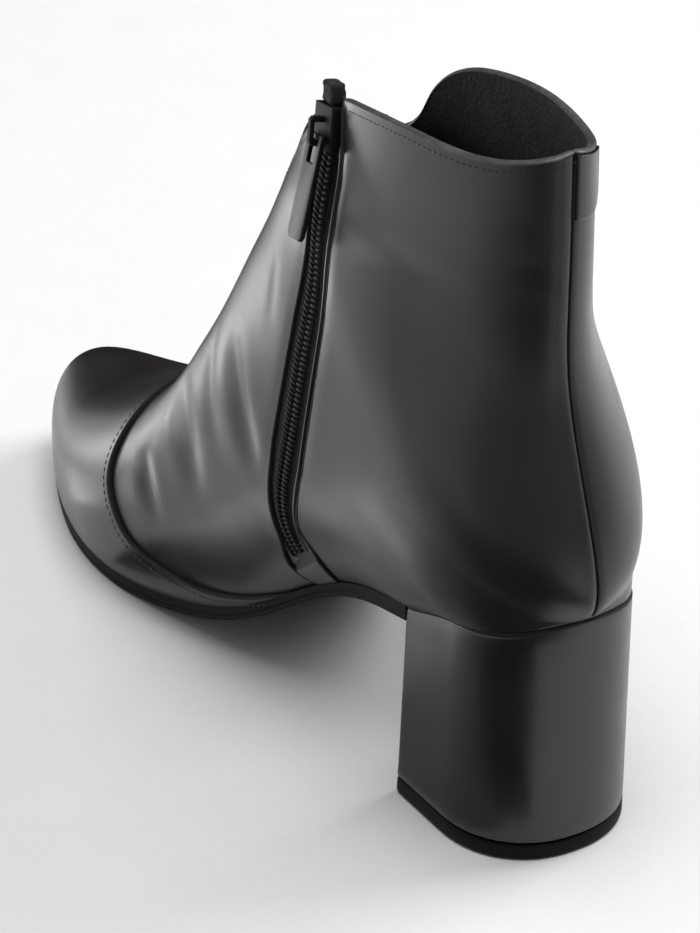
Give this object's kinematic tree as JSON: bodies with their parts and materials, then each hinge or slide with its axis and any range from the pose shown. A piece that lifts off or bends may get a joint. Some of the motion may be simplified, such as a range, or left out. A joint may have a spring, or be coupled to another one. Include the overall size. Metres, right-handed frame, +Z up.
{
  "type": "block heel ankle boot",
  "caption": "Right ankle boot in smooth leather with a winged toe cap, elastic gore at the front, zip on the inner side, thin sole and covered block heel.",
  "frame": {"origin": "middle of the boot's footprint, on the floor", "axes": "+X towards the toe, +Y towards the wearer's left, which is the inner side with the zip, +Z up"},
  "size_m": [0.2512, 0.0822, 0.1865],
  "materials": {
    "upper_leather": "smooth satin calf leather, black",
    "heel_leather": "smooth leather drawn over the heel block, black",
    "elastic": "matte ribbed elastic, black",
    "sole_rubber": "matte rubber, black",
    "lining": "matte lining leather, black",
    "zip_tape": "woven tape, black",
    "zip_coil": "nylon coil, black",
    "zip_metal": "dark polished nickel plate"
  },
  "bodies": {
    "boot": {"upper": "upper_leather", "toe_cap": "upper_leather", "back_tab": "upper_leather", "front_gore": "elastic", "outsole": "sole_rubber", "top_piece": "sole_rubber", "insole": "lining", "heel": "heel_leather", "zip_tape": "zip_tape", "zip_coil": "zip_coil", "zip_slider": "zip_metal"},
    "zip_pull": {"zip_pull": "zip_metal"}
  },
  "joints": [
    {"name": "pull_hinge", "type": "hinge", "parent": "boot", "child": "zip_pull", "pos_m": [-0.03194, 0.02148, 0.16276], "axis": [0.9597, -0.1516, -0.2368], "range_deg": [0, 170]}
  ]
}
